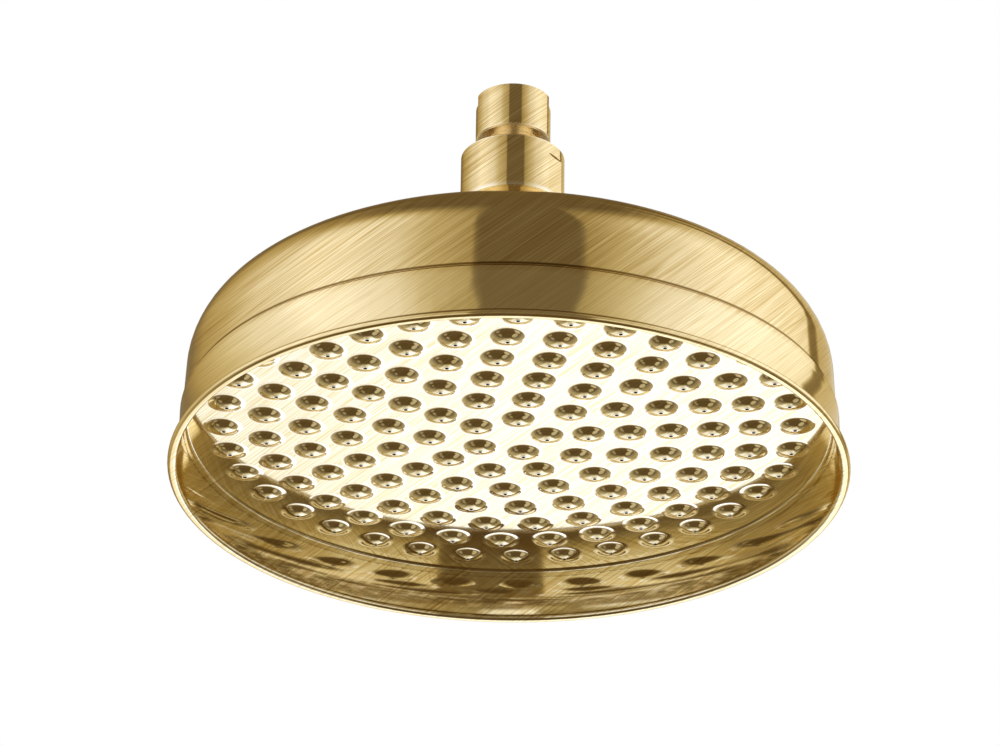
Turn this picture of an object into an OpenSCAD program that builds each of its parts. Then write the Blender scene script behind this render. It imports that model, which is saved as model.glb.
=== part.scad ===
// Bell shower rose with a dimpled spray plate and a ball-jointed inlet.
// Millimetres, +Z up. The origin is the centre of the rim's lower face,
// so the rose stands on its rim with the inlet thread pointing up.

/* [Bell shell] */
// Diameter over the rolled rim
rim_d = 228.6; // [200:0.2:260]
// Thickness of the spun brass sheet
shell_t = 1.0; // [0.8:0.1:1.6]
// Width of the rolled rim, across the wall
hem_w = 3.2; // [2.8:0.1:4.2]
// Height of the rolled rim
hem_h = 2.4; // [2:0.1:3]
// How far the rolled rim stands out past the skirt
hem_overhang = 1.6; // [1.2:0.1:1.8]
// How far the skirt flares out below the joggle
skirt_flare = 1.8; // [1:0.1:3]
// Height of the joggle line above the rim's lower face
joggle_z = 20.6; // [18.5:0.1:24]
// How far the joggle steps in above the skirt
joggle_step = 0.8; // [0.4:0.1:1.2]
// Height above the rim where the wall turns into the shoulder
shoulder_z = 35.6; // [28:0.2:45]
// Slope of the wall inwards from the joggle to the shoulder
wall_draw = 0.7; // [0:0.1:2]
// Radius of the shoulder between wall and crown
shoulder_r = 21.6; // [16:0.2:28]
// Slope of the crown where it leaves the shoulder, in degrees
crown_slope = 18.7; // [12:0.1:24]
// Radius of the flat seat on top of the crown
crown_seat_r = 26; // [25.5:0.5:32]

/* [Spray plate] */
// Thickness of the spray plate
plate_t = 1.2; // [0.8:0.1:1.6]
// How much higher the outermost row of nozzles is than the centre
plate_dish = 1.5; // [0.5:0.1:2]
// Depth of the flange that is turned down against the skirt
flange_h = 2.1; // [1.5:0.1:4]
// Thickness of that flange
flange_t = 0.85; // [0.6:0.05:1.2]
// Gap between the plate and the bell, at its flange and under the joggle
plate_gap = 0.05; // [0.02:0.01:0.1]
// Number of rings of nozzles, evenly spaced
ring_count = 7; // [4:1:7]
// Radius of the innermost ring
first_ring_r = 12.8; // [10:0.1:16]
// Distance from the outermost ring to the edge of the plate
plate_margin = 13.77; // [12:0.01:16]
// Nozzles added with every ring
nozzles_per_ring = 5; // [4:1:6]
// Turn of the nozzle pattern about the axis, in degrees
pattern_turn = -4.5; // [-36:0.5:36]
// Radius of a nozzle's dimple at the plate
dimple_r = 5.5; // [4.5:0.1:6]
// Height of a dimple below the plate
dimple_h = 2.0; // [1.5:0.1:2.6]
// Diameter of the water hole in each dimple
nozzle_d = 1.3; // [0.8:0.1:2]

/* [Neck] */
// Diameter of the neck below the collar
neck_d = 24; // [22:0.5:25]
// Radius of the hollow sweep at the neck's foot
neck_sweep_r = 12; // [8:0.5:12.5]
// Thickness of the neck's foot at its edge
neck_foot_t = 2.4; // [1.6:0.1:4]
// Height of the collar's underside above the rim
collar_z = 103.3; // [98:0.1:110]
// Diameter of the waterway in the neck
neck_bore_d = 14; // [10:0.5:15]
// Diameter of the spigot that passes through the crown
spigot_d = 22; // [20:0.5:23]
// Length of the spigot below the crown's seat
spigot_l = 10; // [8.5:0.5:14]
// Diameter of the threaded head inside the collar
head_d = 27.6; // [26.6:0.2:28]
// Height of the threaded head
head_h = 4.6; // [4:0.1:6]
// Recess of the head above the collar's underside
head_recess = 0.5; // [0.2:0.1:1]
// Diameter of the recess that clears the ball
ball_recess_d = 18; // [16:0.5:20]

/* [Crown fixing] */
// Size of the lock nut across its flats
nut_flats = 30; // [27:1:36]
// Height of the lock nut
nut_h = 6; // [4:0.5:7]
// Diameter of the washer under the crown
washer_d = 38; // [34:1:46]
// Thickness of the washer under the crown
washer_t = 1.5; // [1:0.1:2]
// Gap round the spigot where it passes through crown, washer and nut
spigot_gap = 0.05; // [0.02:0.01:0.1]

/* [Collar] */
// Outer diameter of the collar
collar_d = 35.9; // [34:0.1:40]
// Height of the collar
collar_h = 20.9; // [20:0.1:24]
// Diameter of the opening that holds the ball in
lip_d = 20; // [19.4:0.1:20.4]
// Height of the straight part of that opening
lip_land = 1.2; // [0.6:0.1:2]
// Diameter of the opening at the collar's top face
lip_top_d = 21.6; // [21.2:0.1:24]
// Chamfer on the collar's outer edges
collar_edge = 0.5; // [0.2:0.1:1.2]
// Depth of the two spanner flats cut into the collar's side
collar_flat_depth = 0.45; // [0.3:0.05:0.8]
// Height of those flats, from the collar's underside
collar_flat_h = 16.2; // [12:0.2:18]
// Turn of those flats about the axis, in degrees
collar_flat_turn = -33.5; // [-90:0.5:90]

/* [Ball joint] */
// Diameter of the ball
ball_d = 21; // [20.4:0.1:21.6]
// Height of the ball's centre above the collar's underside
ball_rise = 11.7; // [11.5:0.1:12.2]
// Running gap between ball and seats
ball_gap = 0.05; // [0.02:0.01:0.1]
// Outer diameter of both ball seats
seat_d = 27; // [26:0.1:27.2]
// Gap between the seats and the bore of the collar
seat_gap = 0.1; // [0.05:0.05:0.2]
// Lower face of the upper seat above the ball's centre
upper_seat_low = 0.8; // [0.4:0.1:1.6]
// Upper face of the upper seat above the ball's centre
upper_seat_high = 4.5; // [4:0.1:4.8]
// Upper face of the lower seal below the ball's centre
lower_seal_high = 1.5; // [1:0.1:2.5]
// Lower face of the lower seal below the ball's centre
lower_seal_low = 6.5; // [6:0.1:6.9]

/* [Inlet] */
// Diameter of the inlet body
inlet_d = 26; // [25:0.1:30]
// Height of the inlet body
inlet_h = 16.5; // [15.5:0.1:22]
// Gap between the inlet body and the collar
joint_gap = 6.5; // [5.5:0.1:9]
// Diameter of the neck that carries the ball
stem_d = 14.6; // [13:0.1:15]
// Diameter of the waterway through the ball
waterway_d = 10; // [7:0.2:10.4]
// Diameter of the socket's threaded wall
thread_d = 20.96; // [20.8:0.02:21.2]
// Depth of the inlet socket
socket_depth = 11.5; // [11:0.1:13]
// Height of the relief groove at the foot of the thread
relief_h = 2.3; // [2.2:0.1:3]
// Depth of the relief groove beyond the thread
relief_depth = 0.22; // [0.1:0.02:0.5]
// Chamfer at the mouth of the socket
mouth_chamfer = 0.8; // [0.4:0.1:1.2]
// Depth of the two spanner flats cut into the inlet's side
inlet_flat_depth = 0.65; // [0.3:0.05:0.7]
// Height of those flats, from the inlet's top face
inlet_flat_h = 3.8; // [3:0.1:8]
// Chamfer on the lower edge of the inlet body
inlet_edge = 0.5; // [0.2:0.1:1]
// Diameter of the raised ring round the stem
stem_ring_d = 18; // [16:0.2:22]
// Height of the raised ring round the stem
stem_ring_h = 0.4; // [0.2:0.1:1]

/* [Inlet fittings] */
// Thickness of the inlet washer
inlet_washer_t = 1.8; // [1.5:0.1:2.5]
// Hole in the inlet washer
inlet_washer_hole_d = 14.4; // [12:0.2:16]
// Gap round the washer and the strainer
fitting_gap = 0.12; // [0.05:0.01:0.3]
// Thickness of the strainer disc
strainer_t = 0.4; // [0.2:0.1:0.6]
// Width of one opening in the strainer
strainer_hole = 0.9; // [0.5:0.1:1.1]
// Distance between openings in the strainer
strainer_pitch = 1.5; // [1.4:0.1:2]
// Diameter of the pocket for the flow regulator
regulator_pocket_d = 16.4; // [14:0.1:17]
// Depth of that pocket
regulator_pocket_h = 3.2; // [2.6:0.1:3.6]
// Gap round the flow regulator and above it
regulator_gap = 0.1; // [0.05:0.05:0.3]
// Diameter of the fluted core of the regulator
regulator_core_d = 6.4; // [5:0.2:7]
// Width of the channel round the core
regulator_channel_w = 2.4; // [2:0.1:2.8]
// Thickness of the floor under the channel
regulator_floor_t = 0.8; // [0.5:0.1:1.2]
// Number of flutes in the core, each with a water hole below it
regulator_flutes = 8; // [5:1:9]
// Diameter of a flute and of its water hole
regulator_flute_d = 1.2; // [0.8:0.1:1.5]
// Diameter of the wire of the elastic ring in the channel
o_ring_wire = 1.4; // [1:0.1:1.6]
// Gap under the elastic ring
o_ring_gap = 0.02; // [0.01:0.01:0.05]

/* [Hidden] */
$fn = 180;

BRASS = "#c9a85c";
RUBBER = "#2b2b2b";
NYLON = "#e9e6dc";
STEEL = "#b9bcc0";
FIBRE = "#7b3f2a";
PLASTIC = "#3d6fb4";

// Overlap that lets cutting shapes run clear of a face
past = 1;

rim_r = rim_d / 2;
hem_end_r = hem_h / 2;
hem_outer_x = rim_r - hem_end_r;
hem_inner_x = rim_r - hem_w + hem_end_r;
skirt_foot_r = rim_r - hem_overhang;
skirt_top_r = skirt_foot_r - skirt_flare;
flare_top_z = joggle_z - joggle_step - plate_t - flange_h;
flare_h = flare_top_z - hem_h;
flare_r = (flare_h * flare_h + skirt_flare * skirt_flare) / (2 * skirt_flare);
wall_foot_r = skirt_top_r - joggle_step;
wall_top_r = wall_foot_r - wall_draw;
// A bent sheet's inner face turns a little lower than its outer face
joggle_drop = shell_t * tan(22.5);
shoulder_x = wall_top_r - shoulder_r;
crown_r = (shoulder_x + shoulder_r * sin(crown_slope)) / sin(crown_slope);
crown_centre_z = shoulder_z - (crown_r - shoulder_r) * cos(crown_slope);
crown_seat_z = crown_centre_z + sqrt(crown_r * crown_r - crown_seat_r * crown_seat_r);

// The plate is pushed up into the skirt until its edge meets the underside of the joggle
plate_r = skirt_top_r - shell_t - plate_gap;
last_ring_r = plate_r - plate_margin;
ring_pitch = (last_ring_r - first_ring_r) / (ring_count - 1);
dish_r = (last_ring_r * last_ring_r + plate_dish * plate_dish) / (2 * plate_dish);
plate_seat_z = joggle_z - joggle_drop - joggle_step - plate_gap;
dish_centre_z = plate_seat_z - plate_t + sqrt(dish_r * dish_r - plate_r * plate_r);
plate_z = dish_centre_z - dish_r;
flange_inner_r = plate_r - flange_t;
function plate_under_z(r) = dish_centre_z - sqrt(dish_r * dish_r - r * r);
dimple_ball_r = (dimple_r * dimple_r + dimple_h * dimple_h) / (2 * dimple_h);

ball_r = ball_d / 2;
ball_z = collar_z + ball_rise;
collar_r = collar_d / 2;
collar_top_z = collar_z + collar_h;
seat_bore_r = seat_d / 2 + seat_gap;
thread_bore_r = head_d / 2 + seat_gap;
inlet_z = collar_top_z + joint_gap;
inlet_top_z = inlet_z + inlet_h;
socket_z = inlet_top_z - socket_depth;
pocket_z = socket_z - regulator_pocket_h;
relief_r = thread_d / 2 + relief_depth;
spigot_hole_r = spigot_d / 2 + spigot_gap;
nut_z = crown_seat_z - shell_t - washer_t - nut_h;
regulator_r = regulator_pocket_d / 2 - regulator_gap;
regulator_h = regulator_pocket_h - regulator_gap;
core_r = regulator_core_d / 2;
channel_mid_r = core_r + regulator_channel_w / 2;

// The whole bell as a solid outline, or the space inside it when set in by the sheet
module bell_outline(inset) {
    shoulder_end_x = shoulder_x + 2 * shoulder_r * sin(crown_slope);
    shoulder_end_z = shoulder_z + 2 * shoulder_r * cos(crown_slope);
    joggle_top_z = joggle_z - joggle_drop * inset / shell_t;
    union() {
        // Crown, as far as the line through the centres of crown and shoulder
        intersection() {
            translate([0, crown_centre_z]) circle(r = crown_r - inset, $fn = 720);
            polygon([[0, shoulder_z], [shoulder_x, shoulder_z], [shoulder_end_x, shoulder_end_z],
                [shoulder_end_x, crown_seat_z - inset], [0, crown_seat_z - inset]]);
        }
        // Shoulder
        translate([shoulder_x, shoulder_z]) circle(r = shoulder_r - inset);
        // Straight core of the skirt, the joggle, and the wall up to the shoulder
        polygon([[0, hem_end_r], [skirt_top_r - inset, hem_end_r],
            [skirt_top_r - inset, joggle_top_z - joggle_step], [wall_foot_r - inset, joggle_top_z],
            [wall_top_r - inset, shoulder_z], [0, shoulder_z]]);
        // Flared skirt
        difference() {
            translate([0, hem_end_r]) square([skirt_foot_r - inset * cos(asin(flare_h / flare_r)),
                flare_top_z - hem_end_r]);
            translate([skirt_top_r + flare_r, flare_top_z]) circle(r = flare_r + inset, $fn = 720);
        }
    }
}

module rolled_rim() {
    translate([hem_outer_x, hem_end_r]) circle(r = hem_end_r);
    translate([hem_inner_x, hem_end_r]) circle(r = hem_end_r);
    translate([hem_inner_x, 0]) square([hem_outer_x - hem_inner_x, hem_h]);
}

// One spun sheet: crown, shoulder, wall, joggle, flared skirt and rolled rim
module bell_shell() {
    color(BRASS) rotate_extrude() {
        difference() {
            bell_outline(0);
            bell_outline(shell_t);
            translate([-past, 0]) square([hem_inner_x + past, hem_end_r + 0.01]);
            translate([0, crown_seat_z - 2 * shell_t]) square([spigot_hole_r, 3 * shell_t]);
        }
        rolled_rim();
    }
}

module each_nozzle() {
    for (ring = [1:ring_count]) {
        ring_r = first_ring_r + (ring - 1) * ring_pitch;
        number = nozzles_per_ring * ring;
        for (i = [0:number - 1])
            rotate(pattern_turn + 360 * i / number)
                translate([ring_r, 0, plate_under_z(ring_r)]) children();
    }
}

// The lower part of a ball, as far up as top_z, that bulges dimple_h below the plate
module dimple_cap(ball_r, top_z) {
    intersection() {
        translate([0, 0, dimple_ball_r - dimple_h]) sphere(r = ball_r, $fn = 96);
        translate([0, 0, -dimple_h - past]) cylinder(r = dimple_r + plate_t, h = top_z + dimple_h + past);
    }
}

// Pressed plate: shallow dish, turned-down flange and rings of dimples, each with its hole
module spray_plate() {
    color(BRASS) difference() {
        union() {
            rotate_extrude() {
                intersection() {
                    difference() {
                        translate([0, dish_centre_z]) circle(r = dish_r, $fn = 3600);
                        translate([0, dish_centre_z]) circle(r = dish_r - plate_t, $fn = 3600);
                    }
                    translate([0, plate_z - past]) square([plate_r, plate_seat_z - plate_z + 2 * past]);
                }
                translate([flange_inner_r, plate_under_z(flange_inner_r) - flange_h])
                    square([flange_t, flange_h + plate_t / 2]);
            }
            each_nozzle() dimple_cap(dimple_ball_r, plate_t / 2);
        }
        each_nozzle() dimple_cap(dimple_ball_r - plate_t, plate_t + past / 2);
        each_nozzle() translate([0, 0, -dimple_h - past])
            cylinder(d = nozzle_d, h = dimple_h + plate_t + past, $fn = 24);
    }
}

// Turned neck: threaded head, round neck, hollow sweep to a foot, and a spigot through the crown
module neck_boss() {
    head_low_z = collar_z + head_recess;
    foot_top_z = crown_seat_z + neck_foot_t;
    foot_r = neck_d / 2 + neck_sweep_r;
    color(BRASS) rotate_extrude() difference() {
        union() {
            translate([0, head_low_z]) square([head_d / 2, head_h]);
            translate([0, crown_seat_z]) square([neck_d / 2, head_low_z - crown_seat_z]);
            difference() {
                translate([0, crown_seat_z]) square([foot_r, neck_foot_t + neck_sweep_r]);
                translate([foot_r, foot_top_z + neck_sweep_r]) circle(r = neck_sweep_r);
            }
            translate([0, crown_seat_z - spigot_l]) square([spigot_d / 2, spigot_l]);
        }
        translate([-past, crown_seat_z - spigot_l - past])
            square([neck_bore_d / 2 + past, head_low_z + head_h + 2 * past - crown_seat_z + spigot_l]);
        translate([-past, head_low_z + head_recess / 2])
            square([ball_recess_d / 2 + past, head_h]);
    }
}

module crown_washer() {
    color(FIBRE) translate([0, 0, crown_seat_z - shell_t - washer_t]) difference() {
        cylinder(d = washer_d, h = washer_t);
        translate([0, 0, -past]) cylinder(r = spigot_hole_r, h = washer_t + 2 * past);
    }
}

module lock_nut() {
    nut_corner_d = nut_flats / cos(30);
    color(BRASS) translate([0, 0, nut_z]) difference() {
        intersection() {
            cylinder(d = nut_corner_d, h = nut_h, $fn = 6);
            // Chamfered corners on the lower face
            cylinder(r1 = nut_flats / 2, r2 = nut_flats / 2 + nut_h, h = nut_h);
        }
        translate([0, 0, -past]) cylinder(r = spigot_hole_r, h = nut_h + 2 * past);
    }
}

// Round collar that screws up over the neck's head and holds the ball down
module swivel_collar() {
    lip_z = ball_z + upper_seat_high + ball_gap;
    color(BRASS) difference() {
        rotate_extrude() difference() {
            polygon([[0, collar_z], [collar_r - collar_edge, collar_z], [collar_r, collar_z + collar_edge],
                [collar_r, collar_top_z - collar_edge], [collar_r - collar_edge, collar_top_z],
                [0, collar_top_z]]);
            polygon([[-past, collar_z - past], [thread_bore_r, collar_z - past],
                [thread_bore_r, ball_z - lower_seal_low], [seat_bore_r, ball_z - lower_seal_low],
                [seat_bore_r, lip_z], [lip_d / 2, lip_z], [lip_d / 2, lip_z + lip_land],
                [lip_top_d / 2, collar_top_z], [lip_top_d / 2, collar_top_z + past],
                [-past, collar_top_z + past]]);
        }
        rotate(collar_flat_turn) translate([0, 0, collar_z - past])
            side_flats(collar_r - collar_flat_depth, collar_flat_h + past);
    }
}

// Cutters for two opposite spanner flats, each out from the axis by the given distance
module side_flats(distance, height) {
    for (side = [0, 180]) rotate(side)
        translate([distance, -distance, 0]) cube([distance, 2 * distance, height]);
}

module seat_ring(low, high) {
    rotate_extrude() difference() {
        translate([0, ball_z + low]) square([seat_d / 2, high - low]);
        translate([0, ball_z]) circle(r = ball_r + ball_gap);
    }
}

module upper_ball_seat() {
    color(NYLON) seat_ring(upper_seat_low, upper_seat_high);
}

module lower_ball_seal() {
    color(RUBBER) seat_ring(-lower_seal_low, -lower_seal_high);
}

// Threaded socket, spanner flats, stem and ball, turned from one bar
module inlet_ball_stem() {
    color(BRASS) difference() {
        rotate_extrude() difference() {
            union() {
                polygon([[0, inlet_z], [inlet_d / 2 - inlet_edge, inlet_z], [inlet_d / 2, inlet_z + inlet_edge],
                    [inlet_d / 2, inlet_top_z], [0, inlet_top_z]]);
                translate([0, inlet_z - stem_ring_h]) square([stem_ring_d / 2, stem_ring_h + past]);
                translate([0, ball_z]) square([stem_d / 2, inlet_z - ball_z + past]);
                intersection() {
                    translate([0, ball_z]) circle(r = ball_r);
                    translate([0, ball_z - ball_r]) square([ball_r, 2 * ball_r]);
                }
            }
            // Waterway, regulator pocket, relief groove, thread wall and mouth
            polygon([[-past, ball_z - ball_r - past], [waterway_d / 2, ball_z - ball_r - past],
                [waterway_d / 2, pocket_z], [regulator_pocket_d / 2, pocket_z],
                [regulator_pocket_d / 2, socket_z], [relief_r, socket_z],
                [relief_r, socket_z + relief_h], [thread_d / 2, socket_z + relief_h],
                [thread_d / 2, inlet_top_z - mouth_chamfer],
                [thread_d / 2 + mouth_chamfer, inlet_top_z],
                [thread_d / 2 + mouth_chamfer, inlet_top_z + past], [-past, inlet_top_z + past]]);
        }
        translate([0, 0, inlet_top_z - inlet_flat_h])
            side_flats(inlet_d / 2 - inlet_flat_depth, inlet_flat_h + past);
    }
}

module strainer_disc() {
    open_r = inlet_washer_hole_d / 2 - strainer_hole;
    reach = floor(open_r / strainer_pitch);
    color(STEEL) translate([0, 0, socket_z]) difference() {
        cylinder(r = relief_r - fitting_gap, h = strainer_t);
        for (i = [-reach:reach], j = [-reach:reach])
            if (norm([i, j]) * strainer_pitch < open_r)
                translate([i * strainer_pitch, j * strainer_pitch, strainer_t / 2])
                    cube([strainer_hole, strainer_hole, 2 * strainer_t], center = true);
    }
}

module inlet_washer() {
    color(RUBBER) translate([0, 0, socket_z + strainer_t]) difference() {
        cylinder(r = relief_r - fitting_gap, h = inlet_washer_t);
        translate([0, 0, -past]) cylinder(d = inlet_washer_hole_d, h = inlet_washer_t + 2 * past);
    }
}

// Plastic insert: a channel round a fluted core, with a water hole through the floor at each flute
module flow_regulator() {
    color(PLASTIC) translate([0, 0, pocket_z]) difference() {
        rotate_extrude() difference() {
            square([regulator_r, regulator_h]);
            translate([core_r, regulator_floor_t]) square([regulator_channel_w, regulator_h]);
        }
        for (i = [0:regulator_flutes - 1]) rotate(360 * i / regulator_flutes)
            translate([core_r, 0, -past])
                cylinder(d = regulator_flute_d, h = regulator_h + 2 * past, $fn = 24);
    }
}

// Elastic ring that lies in the channel and closes the flutes as the pressure rises
module regulator_o_ring() {
    color(RUBBER) translate([0, 0, pocket_z + regulator_floor_t + o_ring_gap + o_ring_wire / 2])
        rotate_extrude() translate([channel_mid_r, 0]) circle(d = o_ring_wire, $fn = 48);
}

bell_shell();
spray_plate();
neck_boss();
crown_washer();
lock_nut();
swivel_collar();
upper_ball_seat();
lower_ball_seal();
inlet_ball_stem();
strainer_disc();
inlet_washer();
flow_regulator();
regulator_o_ring();
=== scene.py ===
# %% [markdown]
# # A bell shower head in brushed brass
#
# The head is a bell spun from one brass sheet, closed below by a pressed plate with rings of dimples.
# A collar on top holds a ball, and the ball is turned in one piece with the threaded inlet, so that
# the head tilts and turns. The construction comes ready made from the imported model: this script gives
# every piece its finish, adds the forms that are too fine for the construction, and lights the head
# the way a product photographer would.

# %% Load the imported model
import math

import bmesh
import bpy
from mathutils import Matrix, Vector


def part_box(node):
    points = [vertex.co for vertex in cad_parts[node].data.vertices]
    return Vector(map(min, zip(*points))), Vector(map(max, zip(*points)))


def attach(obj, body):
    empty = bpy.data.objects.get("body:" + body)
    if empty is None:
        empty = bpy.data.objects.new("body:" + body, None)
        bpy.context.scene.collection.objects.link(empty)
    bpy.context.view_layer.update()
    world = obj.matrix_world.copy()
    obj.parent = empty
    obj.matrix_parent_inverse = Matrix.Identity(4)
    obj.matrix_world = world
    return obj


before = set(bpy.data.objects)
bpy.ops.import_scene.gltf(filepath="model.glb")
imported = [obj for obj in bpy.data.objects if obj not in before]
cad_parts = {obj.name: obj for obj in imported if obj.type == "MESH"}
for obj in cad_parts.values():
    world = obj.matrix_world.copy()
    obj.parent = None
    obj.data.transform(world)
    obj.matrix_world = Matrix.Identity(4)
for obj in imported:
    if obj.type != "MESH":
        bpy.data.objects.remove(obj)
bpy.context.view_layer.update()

print("nodes:", ", ".join(sorted(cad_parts)))

MM = 0.001

# %% [markdown]
# ## The camera
#
# The head is seen from below, by a camera with a long lens about one and a half metres away. A camera
# can be aimed with a constraint, but then its roll is hard to set. Here its three axes are worked
# out from two angles and written straight into its matrix, so that the aim and the roll are exact.

# %% Place the camera
CAMERA_ELEVATION = math.radians(-28.069)
CAMERA_ROLL = math.radians(-0.789)
CAMERA_DISTANCE = 1.5962
CAMERA_AIM_HEIGHT = 14.2 * MM
CAMERA_SHIFT_RIGHT = -3.095 * MM
CAMERA_SHIFT_UP = 22.91 * MM
LENS = 170.83


def place_camera():
    """Looks up at the head from the front, from below its rim."""
    back = Vector((0, -math.cos(CAMERA_ELEVATION), math.sin(CAMERA_ELEVATION)))
    level_right = Vector((1, 0, 0))
    level_up = back.cross(level_right)
    right = math.cos(CAMERA_ROLL) * level_right - math.sin(CAMERA_ROLL) * level_up
    up = math.sin(CAMERA_ROLL) * level_right + math.cos(CAMERA_ROLL) * level_up
    place = (Vector((0, 0, CAMERA_AIM_HEIGHT)) + CAMERA_SHIFT_RIGHT * right
             + CAMERA_SHIFT_UP * up + CAMERA_DISTANCE * back)
    camera = bpy.data.objects.new("camera", bpy.data.cameras.new("camera"))
    bpy.context.scene.collection.objects.link(camera)
    camera.data.lens = LENS
    camera.data.clip_end = 100
    camera.matrix_world = Matrix((
        (right.x, up.x, back.x, place.x),
        (right.y, up.y, back.y, place.y),
        (right.z, up.z, back.z, place.z),
        (0, 0, 0, 1)))
    bpy.context.scene.camera = camera
    return camera


camera = place_camera()
bpy.context.scene.view_settings.view_transform = "Standard"
print("camera at", [round(v, 3) for v in camera.matrix_world.translation], "m")

# %% [markdown]
# ## Two helpers
#
# Colours are written as the hex values that a picture editor shows, which are sRGB. Blender works in
# linear light, so one function turns the first into the second. Another adds one node to a tree with
# its settings and links, which keeps every material below short enough to read.

# %% Colours and nodes
def linear(hex_colour):
    """The linear RGBA of an sRGB hex colour."""
    parts = [int(hex_colour[i:i + 2], 16) / 255 for i in (1, 3, 5)]
    return [c / 12.92 if c <= 0.04045 else ((c + 0.055) / 1.055) ** 2.4 for c in parts] + [1]


def add_node(tree, kind, settings=(), inputs=()):
    """Adds a node. An input given as a socket is linked, and any other value is set."""
    made = tree.nodes.new(kind)
    for name, value in dict(settings).items():
        setattr(made, name, value)
    for name, value in dict(inputs).items():
        if isinstance(value, bpy.types.NodeSocket):
            tree.links.new(value, made.inputs[name])
        else:
            made.inputs[name].default_value = value
    return made


def new_material(name):
    """An empty material, its node tree and its Principled shader."""
    material = bpy.data.materials.new(name)
    material.use_nodes = True
    tree = material.node_tree
    shader = tree.nodes["Principled BSDF"]
    return material, tree, shader


print("brass in linear light:", [round(c, 3) for c in linear("#e7cd8e")[:3]])

# %% [markdown]
# ## The studio
#
# Polished metal shows the room more than itself, so the room is built first. Behind the head the
# camera sees plain white. A product photographer puts a shiny head into a light tent: a round tent of
# thin white cloth, lit from outside, so that no hard lamp shows in the metal. Here the tent is one
# large ball round the head whose cloth glows more in one place than in another, and only mirrored
# rays see it. It could be built from many lamps and cards, but one cloth with colour ramps on it is
# easier to set: one ramp goes round for the upper half, one for the lower half, and one goes up.

# %% The light tent
TENT_RADIUS = 3.0
# Glow round the head above its rim: degrees from the camera's side, to the right, and the glow there
ROUND_HIGH = [(-180, 0.24), (-155, 0.27), (-146, 0.40), (-140, 0.51), (-120, 0.70), (-105, 0.90),
              (-90, 1.10), (-75, 1.44), (-60, 1.34), (-45, 1.06), (-30, 0.68), (-13.5, 0.48),
              (-12.5, 0.19), (25, 0.19), (26, 0.44), (45, 0.77), (60, 1.10), (75, 1.42), (90, 1.56),
              (105, 1.47), (120, 1.39), (130, 1.23), (131, 0.27), (138.5, 0.27), (140, 0.68),
              (149, 0.70), (156, 0.73), (166, 0.77), (171, 0.24), (180, 0.24)]
# Glow round the head below its rim
ROUND_LOW = [(-180, 1.9), (-174, 1.45), (-166, 1.2), (-160, 0.5), (-90, 0.55), (-60, 1.2), (-30, 1.2),
             (-13.5, 1.05), (-12.5, 0.26), (25, 0.26), (26, 1.05), (60, 1.1), (90, 0.55), (158, 0.42),
             (164, 2.0), (180, 1.9)]
# Share of the glow that is left towards the top: degrees above the horizon, and the share
UPWARD = [(-90, 1.0), (38, 1.0), (46, 0.95), (54, 0.78), (61, 0.48), (67, 0.15), (73, 0.0), (90, 0.0)]
RAMP_TOP = 2.4
# The colour of the cloth by its glow: warm where little light comes through, cool where much does
CLOTH_TINT = [(0.12, "#ffd28c"), (0.19, "#ffe6ba"), (0.45, "#ffebb8"), (0.70, "#fff6dc"),
              (0.95, "#fdfcff"), (1.2, "#f2f4ff"), (2.0, "#e2e8ff")]
TENT_SHADE = 0.18
GROUND_SHADE = 0.12


def direction_to(azimuth, elevation):
    """A unit vector. Azimuth 0 points to the camera's side and 90 to the right."""
    a, e = math.radians(azimuth), math.radians(elevation)
    return Vector((math.sin(a) * math.cos(e), -math.cos(a) * math.cos(e), math.sin(e)))


def set_ramp(ramp, stops, low, high):
    """Puts grey stops on a colour ramp. A ramp runs from 0 to 1, so places and values are scaled."""
    while len(ramp.elements) < len(stops):
        ramp.elements.new(1.0)
    for element, (place, value) in zip(ramp.elements, stops):
        element.position = (place - low) / (high - low)
        element.color = [value / RAMP_TOP] * 3 + [1]


def set_tint(ramp, stops, top):
    """Puts hex colours on a colour ramp, at places that run from 0 to top."""
    while len(ramp.elements) < len(stops):
        ramp.elements.new(1.0)
    for element, (place, hex_colour) in zip(ramp.elements, stops):
        element.position = place / top
        element.color = linear(hex_colour)


def add_step(tree, value, start, end):
    """A soft step from 0 at start to 1 at end."""
    return add_node(tree, "ShaderNodeMapRange", inputs={
        "Value": value, "From Min": start, "From Max": end}).outputs["Result"]


def add_mix(tree, factor, first, second):
    """The first number where the factor is 0 and the second where it is 1."""
    return add_node(tree, "ShaderNodeMix", {"data_type": "FLOAT"}, {
        "Factor": factor, 2: first, 3: second}).outputs[0]


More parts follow.
